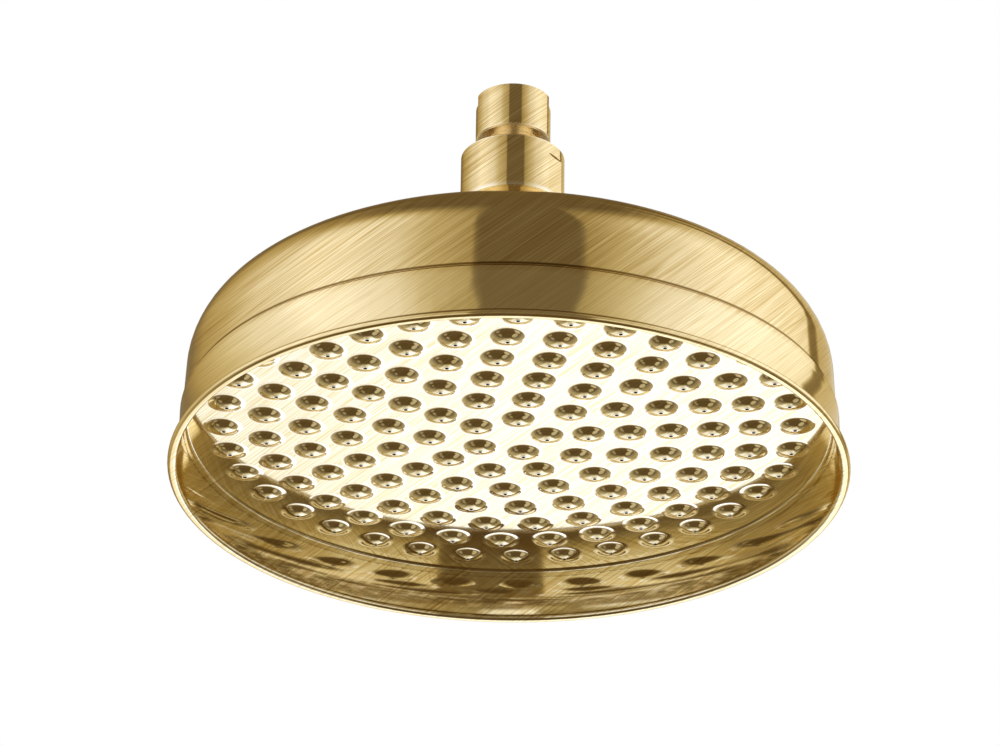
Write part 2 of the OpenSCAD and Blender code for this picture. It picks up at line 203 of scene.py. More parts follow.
def tent_cloth():
    """Thin white cloth that glows. The glow is worked out from where a point lies on the tent."""
    material, tree, shader = new_material("tent_cloth")
    tree.nodes.remove(shader)
    place = add_node(tree, "ShaderNodeTexCoord").outputs["Object"]
    point = add_node(tree, "ShaderNodeVectorMath", {"operation": "NORMALIZE"}, {0: place}).outputs["Vector"]
    split = add_node(tree, "ShaderNodeSeparateXYZ", inputs={"Vector": point})
    front = add_node(tree, "ShaderNodeMath", {"operation": "MULTIPLY"}, {0: split.outputs["Y"], 1: -1.0})
    azimuth = add_node(tree, "ShaderNodeMath", {"operation": "ARCTAN2"}, {
        0: split.outputs["X"], 1: front.outputs["Value"]}).outputs["Value"]
    rise = add_node(tree, "ShaderNodeMath", {"operation": "ARCSINE"}, {0: split.outputs["Z"]}).outputs["Value"]
    around = add_step(tree, azimuth, -math.pi, math.pi)
    upward = add_step(tree, rise, -math.pi / 2, math.pi / 2)
    glows = []
    for name, stops, low, high, along in (("high", ROUND_HIGH, -180, 180, around),
                                          ("low", ROUND_LOW, -180, 180, around),
                                          ("share", UPWARD, -90, 90, upward)):
        ramp = add_node(tree, "ShaderNodeValToRGB", {"name": name}, {"Fac": along})
        set_ramp(ramp.color_ramp, stops, low, high)
        glows.append(add_node(tree, "ShaderNodeMath", {"operation": "MULTIPLY"}, {
            0: ramp.outputs["Color"], 1: RAMP_TOP}).outputs["Value"])
    high_glow, low_glow, share = glows
    # The white sheet behind the head ends lower than the rest of the bright cloth
    behind = add_node(tree, "ShaderNodeMath", {"operation": "ABSOLUTE"}, {0: azimuth}).outputs["Value"]
    is_behind = add_step(tree, behind, math.radians(149), math.radians(151))
    sheet_share = add_step(tree, rise, math.radians(54), math.radians(39))
    upper_share = add_mix(tree, is_behind, share, sheet_share)
    upper = add_mix(tree, upper_share, TENT_SHADE, high_glow)
    glow = add_mix(tree, add_step(tree, rise, math.radians(-14), math.radians(-5)), low_glow, upper)
    # The cloth darkens towards the ground, and two round lamps stand low behind the head
    side_shade = add_step(tree, rise, math.radians(-14), math.radians(-48))
    back_shade = add_step(tree, rise, math.radians(-37), math.radians(-63))
    well_behind = add_step(tree, behind, math.radians(136), math.radians(160))
    glow = add_mix(tree, add_mix(tree, well_behind, side_shade, back_shade), glow, GROUND_SHADE)
    for lamp_azimuth, lamp_elevation, radius, brightness in ((-128, -57, 6.5, 0.36), (129, -58, 10, 0.58)):
        facing = add_node(tree, "ShaderNodeVectorMath", {"operation": "DOT_PRODUCT"}, {
            0: point, 1: direction_to(lamp_azimuth, lamp_elevation)}).outputs["Value"]
        disc = add_step(tree, facing, math.cos(math.radians(radius + 1)), math.cos(math.radians(radius - 1)))
        glow = add_mix(tree, disc, glow, brightness)
    share_of_top = add_step(tree, glow, 0.0, RAMP_TOP)
    tint = add_node(tree, "ShaderNodeValToRGB", inputs={"Fac": share_of_top})
    set_tint(tint.color_ramp, CLOTH_TINT, RAMP_TOP)
    light = add_node(tree, "ShaderNodeEmission", inputs={"Color": tint.outputs["Color"], "Strength": glow})
    tree.links.new(light.outputs["Emission"], tree.nodes["Material Output"].inputs["Surface"])
    material.cycles.emission_sampling = "NONE"
    return material


def pitch_tent():
    """A ball round the head that only mirrored rays see."""
    mesh = bpy.data.meshes.new("light_tent")
    form = bmesh.new()
    bmesh.ops.create_icosphere(form, subdivisions=5, radius=TENT_RADIUS)
    bmesh.ops.reverse_faces(form, faces=form.faces)
    form.to_mesh(mesh)
    form.free()
    mesh.materials.append(tent_cloth())
    tent = bpy.data.objects.new("light_tent", mesh)
    tent.visible_camera = False
    tent.visible_diffuse = False
    tent.visible_shadow = False
    bpy.context.scene.collection.objects.link(tent)
    print("tent:", len(mesh.polygons), "faces,", len(ROUND_HIGH) + len(ROUND_LOW), "stops round")


pitch_tent()

# %% [markdown]
# ## The light on everything else
#
# The tent lights only what mirrors it. The plastic, the rubber and the floor take their light from an
# even white room and from one soft box overhead. The soft box is what gives the head a shadow on the
# floor, and the metal doesn't mirror it.

# %% Room and soft box
ROOM_LIGHT = 0.75


def light_room():
    """White to the camera, to mirrors and through glass, and an even light to everything else."""
    world = bpy.data.worlds.new("studio")
    world.use_nodes = True
    bpy.context.scene.world = world
    tree = world.node_tree
    tree.nodes.clear()
    rays = add_node(tree, "ShaderNodeLightPath")
    mirrored = add_node(tree, "ShaderNodeMath", {"operation": "MAXIMUM"}, {
        0: rays.outputs["Is Glossy Ray"], 1: rays.outputs["Is Transmission Ray"]})
    shown = add_node(tree, "ShaderNodeMath", {"operation": "MAXIMUM"}, {
        0: rays.outputs["Is Camera Ray"], 1: mirrored.outputs["Value"]})
    strength = add_node(tree, "ShaderNodeMix", {"data_type": "FLOAT"}, {
        "Factor": shown.outputs["Value"], 2: ROOM_LIGHT, 3: 1.0})
    light = add_node(tree, "ShaderNodeBackground", inputs={
        "Color": (1, 1, 1, 1), "Strength": strength.outputs[0]})
    add_node(tree, "ShaderNodeOutputWorld", inputs={"Surface": light.outputs["Background"]})


def soft_box(name, azimuth, elevation, distance, size, brightness):
    """A square lamp that faces the head. Brightness 1 would look white in a perfect mirror."""
    lamp = bpy.data.lights.new(name, "AREA")
    lamp.size = size
    lamp.energy = brightness * math.pi * size * size
    box = bpy.data.objects.new(name, lamp)
    towards = direction_to(azimuth, elevation)
    box.location = distance * towards
    box.rotation_euler = towards.to_track_quat("Z", "Y").to_euler()
    box.visible_camera = False
    box.visible_glossy = False
    bpy.context.scene.collection.objects.link(box)


light_room()
soft_box("soft_box_above", -50, 62, 1.6, 0.8, 3.0)

# %% [markdown]
# ## The floor
#
# The head hangs in the air, as it would on its pipe, and the camera stands lower than the head. A
# floor near the head would hide it, so the plain pale floor lies below the camera. It is a real
# surface that takes the head's shadow, and it is seen only in views from above. The metal sees the
# tent in its place, as it would if the tent had a floor of its own.

# %% Lay the floor
FLOOR_Z = -1.1
FLOOR_HALF = 12


def pale_plaster():
    """Matt off-white plaster: rough, with a faint cloudiness that no view comes close enough to see."""
    material, tree, shader = new_material("pale_plaster")
    place = add_node(tree, "ShaderNodeTexCoord")
    clouds = add_node(tree, "ShaderNodeTexNoise", inputs={
        "Vector": place.outputs["Object"], "Scale": 3.0, "Detail": 3.0})
    tint = add_node(tree, "ShaderNodeMix", {"data_type": "RGBA"}, {
        "Factor": clouds.outputs["Fac"], 6: linear("#f2f1ee"), 7: linear("#f7f6f4")})
    tree.links.new(tint.outputs[2], shader.inputs["Base Color"])
    shader.inputs["Roughness"].default_value = 0.85
    return material


def lay_floor():
    mesh = bpy.data.meshes.new("floor")
    mesh.from_pydata([(-FLOOR_HALF, -FLOOR_HALF, FLOOR_Z), (FLOOR_HALF, -FLOOR_HALF, FLOOR_Z),
                      (FLOOR_HALF, FLOOR_HALF, FLOOR_Z), (-FLOOR_HALF, FLOOR_HALF, FLOOR_Z)],
                     [], [(0, 1, 2, 3)])
    mesh.materials.append(pale_plaster())
    floor = bpy.data.objects.new("floor", mesh)
    floor.visible_glossy = False
    bpy.context.scene.collection.objects.link(floor)


lay_floor()

# %% [markdown]
# ## Brushed brass
#
# The head is brass, an alloy of copper and zinc, polished and then brushed with a fine abrasive that
# was drawn over it in one slanting direction, and lacquered to keep it bright. The polish shows in
# sharp reflections, the brushing in thin slanting lines that are a little lighter and darker, and the
# lacquer as a clear coat. A picture of scratches would do it for one view, but a noise that is
# stretched along the stroke works on every side and needs no unwrapping. Real strokes are about
# 0.1 mm wide. The fine ones are drawn three times as wide here, because finer ones wouldn't show.
# Inside the bell, in the gap of the swivel and at the foot of the neck, the brass is painted paler: painted light that
# lifts the shade there.

# %% Brass
STROKE = Vector((0.82, -0.27, 0.51))
STROKE_SIDE = Vector((-0.57, -0.385, 0.72))
WALL_RADIUS = 108.5 * MM
SKIRT_MIDDLE = 110.4 * MM
SKIRT_FLARE = 1.8 * MM
FLARE_TOP, FLARE_FOOT = 16.5 * MM, 2.4 * MM
HOLLOW_TOP = 19.0 * MM
GAP_LOW, GAP_HIGH = 123.6 * MM, 131.3 * MM
NECK_LOW, NECK_HIGH = 98.0 * MM, 103.6 * MM
NECK_RADIUS = 18.5 * MM
# Heights of the painted shade lines in the joggle and above the rolled rim
JOGGLE_SHADE_LOW, JOGGLE_SHADE_HIGH = 20.9 * MM, 21.4 * MM
RIM_SHADE_LOW, RIM_SHADE_HIGH = 2.5 * MM, 3.0 * MM


def stroke_turn():
    """The turn that lays X along the stroke and Y across it."""
    along = STROKE.normalized()
    across = (STROKE_SIDE - STROKE_SIDE.dot(along) * along).normalized()
    third = along.cross(across)
    return Matrix((along, across, third)).transposed().to_euler()


def stroke_noise(tree, place, length, width, detail):
    """Noise drawn out along the stroke, with strokes of that length and width."""
    turned = add_node(tree, "ShaderNodeMapping", {"vector_type": "TEXTURE"}, {
        "Vector": place, "Rotation": stroke_turn(), "Scale": (length, width, length)})
    noise = add_node(tree, "ShaderNodeTexNoise", inputs={
        "Vector": turned.outputs["Vector"], "Scale": 1.0, "Detail": detail, "Roughness": 0.6})
    return noise.outputs["Fac"]


def add_band(tree, value, low, high, soft):
    """1 between low and high and 0 outside them, with soft edges."""
    return add_node(tree, "ShaderNodeMath", {"operation": "MULTIPLY"}, {
        0: add_step(tree, value, low - soft, low), 1: add_step(tree, value, high + soft, high)}).outputs["Value"]


def add_hairlines(tree, place, length, spacing, thickness):
    """1 on thin lines along the stroke: where a drawn-out noise crosses its middle value."""
    noise = stroke_noise(tree, place, length, spacing, 0.0)
    off = add_node(tree, "ShaderNodeMath", {"operation": "SUBTRACT"}, {0: noise, 1: 0.5})
    near = add_node(tree, "ShaderNodeMath", {"operation": "ABSOLUTE"}, {0: off.outputs["Value"]})
    return add_step(tree, near.outputs["Value"], thickness, 0.0)


def add_radius(tree, place):
    """Distance from the head's axis."""
    split = add_node(tree, "ShaderNodeSeparateXYZ", inputs={"Vector": place})
    flat = add_node(tree, "ShaderNodeCombineXYZ", inputs={"X": split.outputs["X"], "Y": split.outputs["Y"]})
    return add_node(tree, "ShaderNodeVectorMath", {"operation": "LENGTH"}, {0: flat.outputs["Vector"]}).outputs["Value"]


def add_blend(tree, factor, first, second):
    """The first colour where the factor is 0 and the second where it is 1."""
    return add_node(tree, "ShaderNodeMix", {"data_type": "RGBA"}, {
        "Factor": factor, 6: first, 7: second}).outputs[2]


def brushed_brass():
    """Polished brass, brushed one way and lacquered, with painted shade in its creases and painted light in the hollow,
    the swivel's gap and the neck's foot.
    """
    material, tree, shader = new_material("brushed_brass")
    place = add_node(tree, "ShaderNodeTexCoord").outputs["Object"]
    height = add_node(tree, "ShaderNodeSeparateXYZ", inputs={"Vector": place}).outputs["Z"]
    radius = add_radius(tree, place)
    # The strokes: a soft grain, and dark and light hairlines over it
    fine = stroke_noise(tree, place, 30 * MM, 0.3 * MM, 1.0)
    broad = stroke_noise(tree, place, 60 * MM, 1.3 * MM, 2.0)
    tone = add_mix(tree, 0.22, add_step(tree, fine, 0.22, 0.78), add_step(tree, broad, 0.34, 0.66))
    dark_hair = add_hairlines(tree, place, 80 * MM, 0.9 * MM, 0.06)
    light_hair = add_hairlines(tree, place, 70 * MM, 0.8 * MM, 0.05)
    tone = add_node(tree, "ShaderNodeMath", {"operation": "MULTIPLY_ADD"}, {
        0: dark_hair, 1: -0.35, 2: tone}).outputs["Value"]
    tone = add_node(tree, "ShaderNodeMath", {"operation": "MULTIPLY_ADD", "use_clamp": True}, {
        0: light_hair, 1: 0.22, 2: tone}).outputs["Value"]
    brushed = add_blend(tree, tone, linear("#c5a662"), linear("#fbe7b2"))
    # Paler copies of the brass: painted light for the hollow, and paler still for the skirt's inner wall
    painted_light_hollow = add_blend(tree, tone, linear("#dcc98f"), linear("#fff9e2"))
    painted_light_wall = add_blend(tree, tone, linear("#cdb67c"), linear("#fffbe6"))
    painted_light_hollow = add_blend(tree, add_step(tree, radius, WALL_RADIUS - 0.5 * MM, WALL_RADIUS), painted_light_hollow, painted_light_wall)
    # Painted light: the hollow, the gap of the swivel and the foot of the neck get paler brass. The skirt's
    # radius grows with the square of the way down it, so that much is taken off first
    drop = add_step(tree, height, FLARE_TOP, FLARE_FOOT)
    drop_squared = add_node(tree, "ShaderNodeMath", {"operation": "MULTIPLY"}, {0: drop, 1: drop}).outputs["Value"]
    straight = add_node(tree, "ShaderNodeMath", {"operation": "MULTIPLY_ADD"}, {
        0: drop_squared, 1: -SKIRT_FLARE, 2: radius}).outputs["Value"]
    hollow = add_node(tree, "ShaderNodeMath", {"operation": "MULTIPLY"}, {
        0: add_step(tree, straight, SKIRT_MIDDLE + 0.1 * MM, SKIRT_MIDDLE - 0.1 * MM),
        1: add_step(tree, height, HOLLOW_TOP + 0.3 * MM, HOLLOW_TOP)}).outputs["Value"]
    neck = add_node(tree, "ShaderNodeMath", {"operation": "MULTIPLY"}, {
        0: add_step(tree, radius, NECK_RADIUS + 0.3 * MM, NECK_RADIUS),
        1: add_band(tree, height, NECK_LOW, NECK_HIGH, 2 * MM)}).outputs["Value"]
    gap = add_band(tree, height, GAP_LOW, GAP_HIGH, 0.3 * MM)
    # Below the joggle the skirt's colour is mixed 42 % of the way to a pale cream
    colour = add_blend(tree, add_node(tree, "ShaderNodeMath", {"operation": "MULTIPLY"}, {
        0: add_step(tree, height, 19.5 * MM, 17.5 * MM), 1: 0.42}).outputs["Value"], brushed, linear("#fdecba"))
    # Painted light: paler brass in the hollow, the gap of the swivel and the foot of the neck
    for mask, finish in ((hollow, painted_light_hollow), (neck, linear("#fdf4da")), (gap, linear("#f9eac8"))):
        colour = add_blend(tree, mask, colour, finish)
    # Painted shade: a dark line in the joggle and another above the rolled rim, outside only
    outside = add_node(tree, "ShaderNodeMath", {"operation": "SUBTRACT"}, {0: 1.0, 1: hollow}).outputs["Value"]
    for low, high in ((JOGGLE_SHADE_LOW, JOGGLE_SHADE_HIGH), (RIM_SHADE_LOW, RIM_SHADE_HIGH)):
        line = add_node(tree, "ShaderNodeMath", {"operation": "MULTIPLY"}, {
            0: outside, 1: add_band(tree, height, low, high, 0.35 * MM)}).outputs["Value"]
        colour = add_blend(tree, line, colour, linear("#80632e"))
    # Painted shade: creases that ambient occlusion finds within 1.5 mm are darkened in two steps, fading out from 30 to
    # 40 mm high
    crease = add_node(tree, "ShaderNodeAmbientOcclusion", {"samples": 8, "only_local": True}, {
        "Distance": 1.5 * MM})
    above = add_step(tree, height, 30 * MM, 40 * MM)
    openness = add_node(tree, "ShaderNodeMath", {"operation": "MAXIMUM"}, {
        0: crease.outputs["AO"], 1: above}).outputs["Value"]
    colour = add_blend(tree, add_step(tree, openness, 0.5, 0.8), linear("#7a6032"), colour)
    colour = add_blend(tree, add_step(tree, openness, 0.3, 0.5), linear("#20160a"), colour)
    tree.links.new(colour, shader.inputs["Base Color"])
    rough = add_node(tree, "ShaderNodeMapRange", inputs={
        "Value": tone, "To Min": 0.09, "To Max": 0.05})
    rough = add_mix(tree, gap, rough.outputs["Result"], 0.24)
    tree.links.new(rough, shader.inputs["Roughness"])
    scratches = add_node(tree, "ShaderNodeBump", inputs={
        "Height": fine, "Strength": 1.0, "Distance": 0.0008 * MM})
    tree.links.new(scratches.outputs["Normal"], shader.inputs["Normal"])
    shader.inputs["Metallic"].default_value = 1.0
    shader.inputs["Specular Tint"].default_value = linear("#f6e6bd")
    shader.inputs["Coat Weight"].default_value = 0.25
    shader.inputs["Coat Roughness"].default_value = 0.03
    return material


def pressed_brass_painted_highlight():
    """Brass burnished by the rounded edge of a press die, without strokes. Its bright, pale colour is a painted
    highlight.
    """
    material, tree, shader = new_material("pressed_brass_painted_highlight")
    place = add_node(tree, "ShaderNodeTexCoord").outputs["Object"]
    clouds = add_node(tree, "ShaderNodeTexNoise", inputs={"Vector": place, "Scale": 1 / (2 * MM), "Detail": 2.0})
    colour = add_blend(tree, clouds.outputs["Fac"], linear("#f7e8c2"), linear("#fdf4da"))
    tree.links.new(colour, shader.inputs["Base Color"])
    shader.inputs["Metallic"].default_value = 1.0
    shader.inputs["Roughness"].default_value = 0.10
    return material


brass = brushed_brass()
painted_highlight_brass = pressed_brass_painted_highlight()

# %% [markdown]
# ## Turned pieces and the places of the nozzles
#
# Three forms are too fine for the construction: the bend at the foot of each dimple, where the press
# drew the sheet over a rounded die, the small lip round each water hole, and the bend where the plate
# turns down into its flange. All three are rings with a small cross-section. A bevel could round such
# a crease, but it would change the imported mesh, which stays as it is. So each ring is turned on its
# own: a closed section is carried round an axis.

# %% Turn a ring
SHARP = math.radians(40)


def arc(centre_r, centre_z, radius, start, end, steps):
    """Points on a circle in the section's plane, from one angle to another."""
    turns = [start + (end - start) * i / steps for i in range(steps + 1)]
    return [(centre_r + radius * math.cos(t), centre_z + radius * math.sin(t)) for t in turns]


def turned(name, section, steps):
    """Carries a closed section of (radius, height) points round Z. Its sharp corners stay sharp."""
    form = bmesh.new()
    rings = []
    for i in range(steps):
        turn = 2 * math.pi * i / steps
        rings.append([form.verts.new((r * math.cos(turn), r * math.sin(turn), z)) for r, z in section])
    count = len(section)
    for i in range(steps):
        here, there = rings[i], rings[(i + 1) % steps]
        for k in range(count):
            n = (k + 1) % count
            form.faces.new((here[k], there[k], there[n], here[n]))
    bmesh.ops.recalc_face_normals(form, faces=form.faces)
    for face in form.faces:
        face.smooth = True
    for edge in form.edges:
        if edge.calc_face_angle(0) > SHARP:
            edge.smooth = False
    mesh = bpy.data.meshes.new(name)
    form.to_mesh(mesh)
    form.free()
    piece = bpy.data.objects.new(name, mesh)
    bpy.context.scene.collection.objects.link(piece)
    return piece


# %% Where the nozzles are
PLATE_T = 1.2 * MM
FLANGE_T = 0.85 * MM
PLATE_DISH = 1.5 * MM
RING_COUNT = 7
NOZZLES_PER_RING = 5
FIRST_RING_R = 12.8 * MM
PLATE_MARGIN = 13.77 * MM
PATTERN_TURN = math.radians(-4.5)
DIMPLE_R = 5.5 * MM
DIMPLE_H = 2.0 * MM
NOZZLE_R = 0.65 * MM

plate_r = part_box("spray_plate")[1][0]
plate_edge_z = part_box("spray_plate")[1][2] - PLATE_T
last_ring_r = plate_r - PLATE_MARGIN
ring_pitch = (last_ring_r - FIRST_RING_R) / (RING_COUNT - 1)
dish_r = (last_ring_r ** 2 + PLATE_DISH ** 2) / (2 * PLATE_DISH)
dish_centre_z = plate_edge_z + math.sqrt(dish_r ** 2 - plate_r ** 2)
dimple_ball_r = (DIMPLE_R ** 2 + DIMPLE_H ** 2) / (2 * DIMPLE_H)


def plate_under_z(r):
    """Height of the plate's underside at that radius."""
    return dish_centre_z - math.sqrt(dish_r ** 2 - r ** 2)


def dimple_centres():
    """The centre of the ball that each dimple is a cap of."""
    centres = []
    for ring in range(1, RING_COUNT + 1):
        ring_r = FIRST_RING_R + (ring - 1) * ring_pitch
        number = NOZZLES_PER_RING * ring
        for i in range(number):
            turn = PATTERN_TURN + 2 * math.pi * i / number
            centres.append((ring_r * math.cos(turn), ring_r * math.sin(turn),
                            plate_under_z(ring_r) - DIMPLE_H + dimple_ball_r))
    return centres


centres = dimple_centres()
print(len(centres), "nozzles, rings", round(1000 * ring_pitch, 2), "mm apart")

# %% [markdown]
# ## A ring on every dimple
#
# The 140 rings are copies of one. A loop could copy the mesh, but Geometry Nodes are made for it: an
# object that is only points carries the modifier, and the tree puts the turned ring on each point.
# The dimples stand on a dish, so each ring leans a little. Its axis runs through the centre of the
# ball that the dish is part of, and the tree turns the ring away from that centre. At the end the
# copies become one real mesh.

# %% The tree that repeats a ring
def repeat_tree():
    tree = bpy.data.node_groups.new("ring_on_every_point", "GeometryNodeTree")
    tree.is_modifier = True
    for name, kind in (("Points", "NodeSocketGeometry"), ("Ring", "NodeSocketObject"),
                       ("Axes Meet At", "NodeSocketVector"), ("Finish", "NodeSocketMaterial")):
        tree.interface.new_socket(name, in_out="INPUT", socket_type=kind)
    tree.interface.new_socket("Rings", in_out="OUTPUT", socket_type="NodeSocketGeometry")
    given = add_node(tree, "NodeGroupInput").outputs
    ring = add_node(tree, "GeometryNodeObjectInfo", inputs={"Object": given["Ring"]})
    place = add_node(tree, "GeometryNodeInputPosition")
    away = add_node(tree, "ShaderNodeVectorMath", {"operation": "SUBTRACT"}, {
        0: place.outputs["Position"], 1: given["Axes Meet At"]})
    lean = add_node(tree, "FunctionNodeAlignRotationToVector", {"axis": "Z"}, {
        "Vector": away.outputs["Vector"]})
    copies = add_node(tree, "GeometryNodeInstanceOnPoints", inputs={
        "Points": given["Points"], "Instance": ring.outputs["Geometry"], "Rotation": lean.outputs["Rotation"]})
    real = add_node(tree, "GeometryNodeRealizeInstances", inputs={"Geometry": copies.outputs["Instances"]})
    finished = add_node(tree, "GeometryNodeSetMaterial", inputs={
        "Geometry": real.outputs["Geometry"], "Material": given["Finish"]})
    add_node(tree, "NodeGroupOutput", inputs={"Rings": finished.outputs["Geometry"]})
    return tree


def baked(name, points, tree, values):
    """Runs a tree on an object of points and keeps its result as a plain mesh."""
    mesh = bpy.data.meshes.new(name)
    mesh.from_pydata(points, [], [])
    piece = bpy.data.objects.new(name, mesh)
    bpy.context.scene.collection.objects.link(piece)
    modifier = piece.modifiers.new(name, "NODES")
    modifier.node_group = tree
    for socket in tree.interface.items_tree:
        if socket.in_out == "INPUT" and socket.name in values:
            modifier[socket.identifier] = values[socket.name]
    depsgraph = bpy.context.evaluated_depsgraph_get()
    result = bpy.data.meshes.new_from_object(piece.evaluated_get(depsgraph))
    piece.modifiers.remove(modifier)
    piece.data = result
    result.name = name
    bpy.data.meshes.remove(mesh)
    print(name, len(result.polygons), "faces")
    return piece


def volume(piece):
    """The volume inside a closed mesh, which is below zero if its faces point inwards."""
    form = bmesh.new()
    form.from_mesh(piece.data)
    result = form.calc_volume(signed=True)
    form.free()
    return result


rings = repeat_tree()

# %% [markdown]
# ## The foot of each dimple
#
# Where a dimple leaves the plate, the sheet bends through a small radius, and that bend is the thin
# pale line round each dimple. Seen along the dimple's axis both the plate and the dimple are balls, so
# the bend is a ring whose section is an arc that touches both balls from outside. Its two other
# sides lie inside the sheet.

# %% Foot rings
FOOT_BEND = 3.6 * MM
PROUD = 0.02 * MM
SUNK = 0.2 * MM


def foot_section():
    """The section of a foot ring, measured from the dimple's ball centre and outwards."""
    ring_r = 0.5 * (FIRST_RING_R + last_ring_r)
    ball_z = plate_under_z(ring_r) - DIMPLE_H + dimple_ball_r
    apart = math.hypot(ring_r, dish_centre_z - ball_z)
    dish, ball = dish_r + PROUD, dimple_ball_r + PROUD
    bend_z = ((dish + FOOT_BEND) ** 2 - (ball + FOOT_BEND) ** 2 - apart ** 2) / (2 * apart)
    bend_r = math.sqrt((ball + FOOT_BEND) ** 2 - bend_z ** 2)
    crease_z = (dish_r ** 2 - dimple_ball_r ** 2 - apart ** 2) / (2 * apart)
    crease_r = math.sqrt(dimple_ball_r ** 2 - crease_z ** 2)
    start = math.atan2(-bend_z, -bend_r)
    end = math.atan2(-(bend_z + apart), -bend_r)
    return arc(bend_r, bend_z, FOOT_BEND, start, end, 4) + [(crease_r, crease_z - SUNK)]


foot = turned("foot_ring", foot_section(), 24)
nozzle_feet = baked("nozzle_feet", centres, rings, {
    "Ring": foot, "Axes Meet At": (0, 0, dish_centre_z), "Finish": painted_highlight_brass})
bpy.data.objects.remove(foot)
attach(nozzle_feet, "head")

# %% [markdown]
# ## The lip of each water hole
#
# The water holes are pierced after the dimples are pressed, and the punch leaves a small rounded lip
# round each hole. In the photograph it is a bright ring about half a millimetre wide. The lips stand
# upright, because the holes are pierced straight down, so the point where their axes meet is set
# very far up.

# %% Lips
LIP_WIDTH = 0.40 * MM
LIP_HEIGHT = 0.14 * MM
FAR_UP = 1000.0


def lip_section():
    """A flattened round section beside the hole, half sunk into the dimple's tip."""
    middle = NOZZLE_R + LIP_WIDTH / 2
    tip = math.sqrt(dimple_ball_r ** 2 - middle ** 2)
    turns = [2 * math.pi * i / 8 for i in range(8)]
    return [(middle + LIP_WIDTH / 2 * math.cos(t), tip + LIP_HEIGHT * math.sin(t)) for t in turns]


lip = turned("lip_ring", lip_section(), 16)
nozzle_lips = baked("nozzle_lips", centres, rings, {
    "Ring": lip, "Axes Meet At": (0, 0, FAR_UP), "Finish": painted_highlight_brass})
bpy.data.objects.remove(lip)
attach(nozzle_lips, "head")
print("volumes of feet and lips:", round(1e9 * volume(nozzle_feet), 1), round(1e9 * volume(nozzle_lips), 1), "mm3")

# %% [markdown]
# ## The bend at the plate's flange
#
# The plate's edge is turned down against the skirt over a rounded tool. Inside that corner the bend
# draws one thin line all round the plate. It is a single ring, so it is turned directly.

# %% Flange bend
FLANGE_BEND = 0.8 * MM


def flange_section():
    """An arc that touches the plate's underside and the flange's inner face."""
    inner_r = plate_r - FLANGE_T - PROUD
    bend_r = inner_r - FLANGE_BEND
    bend_z = plate_under_z(bend_r) - PROUD - FLANGE_BEND
    return arc(bend_r, bend_z, FLANGE_BEND, 0, math.pi / 2, 5) + [(inner_r + SUNK, bend_z + FLANGE_BEND + SUNK)]


flange_bend = turned("flange_bend", flange_section(), 256)
flange_bend.data.materials.append(brass)
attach(flange_bend, "head")
print("flange bend:", len(flange_bend.data.polygons), "faces")

# %% [markdown]
# ## The pipe thread
#
# The inlet takes a half-inch pipe thread: 14 turns to the inch, so the ridge rises 1.814 mm a turn, and
# it stands 1.16 mm out of the socket's wall. A thread could be cut with a boolean, but a swept ridge is
# cleaner: Geometry Nodes draw a spiral on the wall and carry a small section along it. The ridge
# runs out to nothing at both ends, as a tapped thread does.

# %% Thread ridge
THREAD_PITCH = 1.814 * MM
THREAD_DEPTH = 1.16 * MM
THREAD_LOW = 138.6 * MM
THREAD_TURNS = 4.0
THREAD_R = 10.48 * MM
RIDGE_FOOT = 1.5 * MM
RIDGE_TOP = 0.3 * MM
RUN_OUT = 0.06


